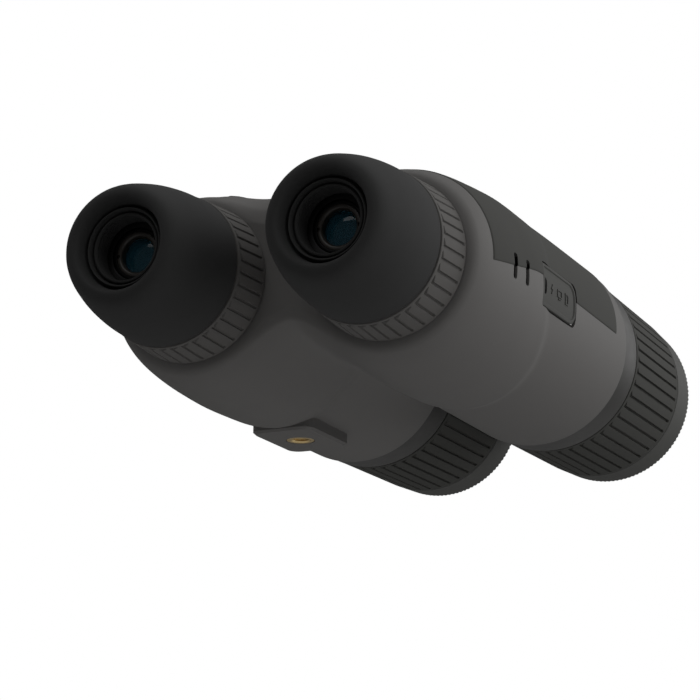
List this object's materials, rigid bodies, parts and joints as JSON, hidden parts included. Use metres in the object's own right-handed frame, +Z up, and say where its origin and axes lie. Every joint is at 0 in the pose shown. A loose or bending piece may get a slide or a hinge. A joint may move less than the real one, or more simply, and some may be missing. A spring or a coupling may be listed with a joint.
{
  "type": "digital binoculars",
  "caption": "Digital day-and-night binoculars: two rubber-armoured barrels on a fixed bridge, eyecups, ribbed dioptre and focus rings, hinged port cover, top keys and a tripod socket.",
  "frame": {"origin": "middle of the object's footprint on its resting plane, which is the tripod pad's face; halfway along its length and between the barrels", "axes": "+Y is the viewing direction along the barrels, +X is the user's right, +Z is up"},
  "size_m": [0.1314, 0.2466, 0.0669],
  "materials": {
    "grey_armour": "fine-grained soft-touch armour coat over a moulded shell",
    "dark_panel": "darker, slightly satin rubber armour",
    "eyecup_rubber": "soft satin black rubber",
    "dioptre_ring_grip": "moulded grip rubber, semi-matte",
    "focus_ring_grip": "moulded grip rubber, semi-matte",
    "hood_plastic": "fine matte plastic",
    "black_anodised": "matte black anodised, anti-reflection",
    "coated_eye_glass": "blue-green anti-reflection coating",
    "coated_front_glass": "violet anti-reflection coating",
    "black_plastic": "plain moulded black",
    "port_rubber": "soft moulded rubber with a raised border",
    "steel_pin": "plain turned steel",
    "brass_insert": "turned brass",
    "bright_metal": "plain bright metal",
    "seal_rubber": "smooth black seal rubber",
    "board_green": "coated circuit board",
    "dark_display": "glossy dark module",
    "lamp_lens": "tinted clear dome",
    "battery_wrap": "shrink sleeve",
    "button_rubber": "moulded rubber keycaps"
  },
  "bodies": {
    "housing": {"battery_cells": "battery_wrap", "battery_cradle": "black_plastic", "card_socket": "bright_metal", "charge_socket": "bright_metal", "deck_cover": "dark_panel", "display_left": "dark_display", "display_right": "dark_display", "eyecup_left": "eyecup_rubber", "eyecup_right": "eyecup_rubber", "eyepiece_tube_left": "black_anodised", "eyepiece_tube_right": "black_anodised", "front_collar_left": "dark_panel", "front_collar_right": "dark_panel", "heat_sink": "bright_metal", "housing_screws": "steel_pin", "illuminator": "lamp_lens", "image_sensor": "dark_display", "key_board": "board_green", "lens_hood_left": "hood_plastic", "lens_hood_right": "hood_plastic", "lower_housing": "grey_armour", "main_board": "board_green", "objective_tube_left": "black_anodised", "objective_tube_right": "black_anodised", "port_cover_pin": "steel_pin", "port_tray": "black_plastic", "seal_rings": "seal_rubber", "sensor_board": "board_green", "strap_anchor_left": "black_plastic", "strap_anchor_right": "black_plastic", "top_panel_left": "dark_panel", "top_panel_right": "dark_panel", "tripod_socket": "brass_insert", "upper_housing": "grey_armour", "video_socket": "bright_metal"},
    "focus_ring_left": {"focus_ring_left": "focus_ring_grip"},
    "objective_group_left": {"objective_cell_left": "black_anodised", "objective_lens_left": "coated_front_glass", "objective_retainer_left": "black_anodised"},
    "dioptre_ring_left": {"dioptre_ring_left": "dioptre_ring_grip"},
    "eyepiece_group_left": {"eyepiece_cell_left": "black_anodised", "eye_lens_left": "coated_eye_glass", "field_lens_left": "coated_eye_glass", "eye_lens_retainer_left": "black_anodised"},
    "focus_ring_right": {"focus_ring_right": "focus_ring_grip"},
    "objective_group_right": {"objective_cell_right": "black_anodised", "objective_lens_right": "coated_front_glass", "objective_retainer_right": "black_anodised"},
    "dioptre_ring_right": {"dioptre_ring_right": "dioptre_ring_grip"},
    "eyepiece_group_right": {"eyepiece_cell_right": "black_anodised", "eye_lens_right": "coated_eye_glass", "field_lens_right": "coated_eye_glass", "eye_lens_retainer_right": "black_anodised"},
    "port_cover": {"port_cover": "port_rubber"},
    "power_button": {"power_button": "button_rubber"},
    "down_button": {"down_button": "button_rubber"},
    "ok_button": {"ok_button": "button_rubber"},
    "up_button": {"up_button": "button_rubber"},
    "record_button": {"record_button": "button_rubber"}
  },
  "joints": [
    {"name": "focus_turn_left", "type": "hinge", "parent": "housing", "child": "focus_ring_left", "pos_m": [-0.033, 0.084, 0.0345], "axis": [0, 1, 0], "range_deg": [0, 240]},
    {"name": "objective_slide_left", "type": "slide", "parent": "housing", "child": "objective_group_left", "axis": [0, 1, 0], "range_m": [0, 0.0042]},
    {"name": "dioptre_turn_left", "type": "hinge", "parent": "housing", "child": "dioptre_ring_left", "pos_m": [-0.0328, -0.085, 0.0333], "axis": [0, 1, 0], "range_deg": [-60, 60]},
    {"name": "eyepiece_slide_left", "type": "slide", "parent": "housing", "child": "eyepiece_group_left", "axis": [0, 1, 0], "range_m": [-0.0013, 0.0013]},
    {"name": "focus_turn_right", "type": "hinge", "parent": "housing", "child": "focus_ring_right", "pos_m": [0.033, 0.084, 0.0345], "axis": [0, 1, 0], "range_deg": [0, 240]},
    {"name": "objective_slide_right", "type": "slide", "parent": "housing", "child": "objective_group_right", "axis": [0, 1, 0], "range_m": [0, 0.0042]},
    {"name": "dioptre_turn_right", "type": "hinge", "parent": "housing", "child": "dioptre_ring_right", "pos_m": [0.0328, -0.085, 0.0333], "axis": [0, 1, 0], "range_deg": [-60, 60]},
    {"name": "eyepiece_slide_right", "type": "slide", "parent": "housing", "child": "eyepiece_group_right", "axis": [0, 1, 0], "range_m": [-0.0013, 0.0013]},
    {"name": "port_cover_hinge", "type": "hinge", "parent": "housing", "child": "port_cover", "pos_m": [0.0639, -0.0058, 0.03315], "axis": [0, 0, 1], "range_deg": [0, 90]},
    {"name": "power_button_press", "type": "slide", "parent": "housing", "child": "power_button", "axis": [0, 0, -1], "range_m": [0, 0.0006], "stiffness_N_per_m": 400, "springref_m": -0.0003},
    {"name": "down_button_press", "type": "slide", "parent": "housing", "child": "down_button", "axis": [0, 0, -1], "range_m": [0, 0.0006], "stiffness_N_per_m": 400, "springref_m": -0.0003},
    {"name": "ok_button_press", "type": "slide", "parent": "housing", "child": "ok_button", "axis": [0, 0, -1], "range_m": [0, 0.0006], "stiffness_N_per_m": 400, "springref_m": -0.0003},
    {"name": "up_button_press", "type": "slide", "parent": "housing", "child": "up_button", "axis": [0, 0, -1], "range_m": [0, 0.0006], "stiffness_N_per_m": 400, "springref_m": -0.0003},
    {"name": "record_button_press", "type": "slide", "parent": "housing", "child": "record_button", "axis": [0, 0, -1], "range_m": [0, 0.0006], "stiffness_N_per_m": 400, "springref_m": -0.0003}
  ],
  "couplings": [
    {"joint": "objective_slide_left", "follows": "focus_turn_left", "m_per_rad": 0.0009549},
    {"joint": "eyepiece_slide_left", "follows": "dioptre_turn_left", "m_per_rad": 0.0011459},
    {"joint": "objective_slide_right", "follows": "focus_turn_right", "m_per_rad": 0.0009549},
    {"joint": "eyepiece_slide_right", "follows": "dioptre_turn_right", "m_per_rad": 0.0011459}
  ]
}
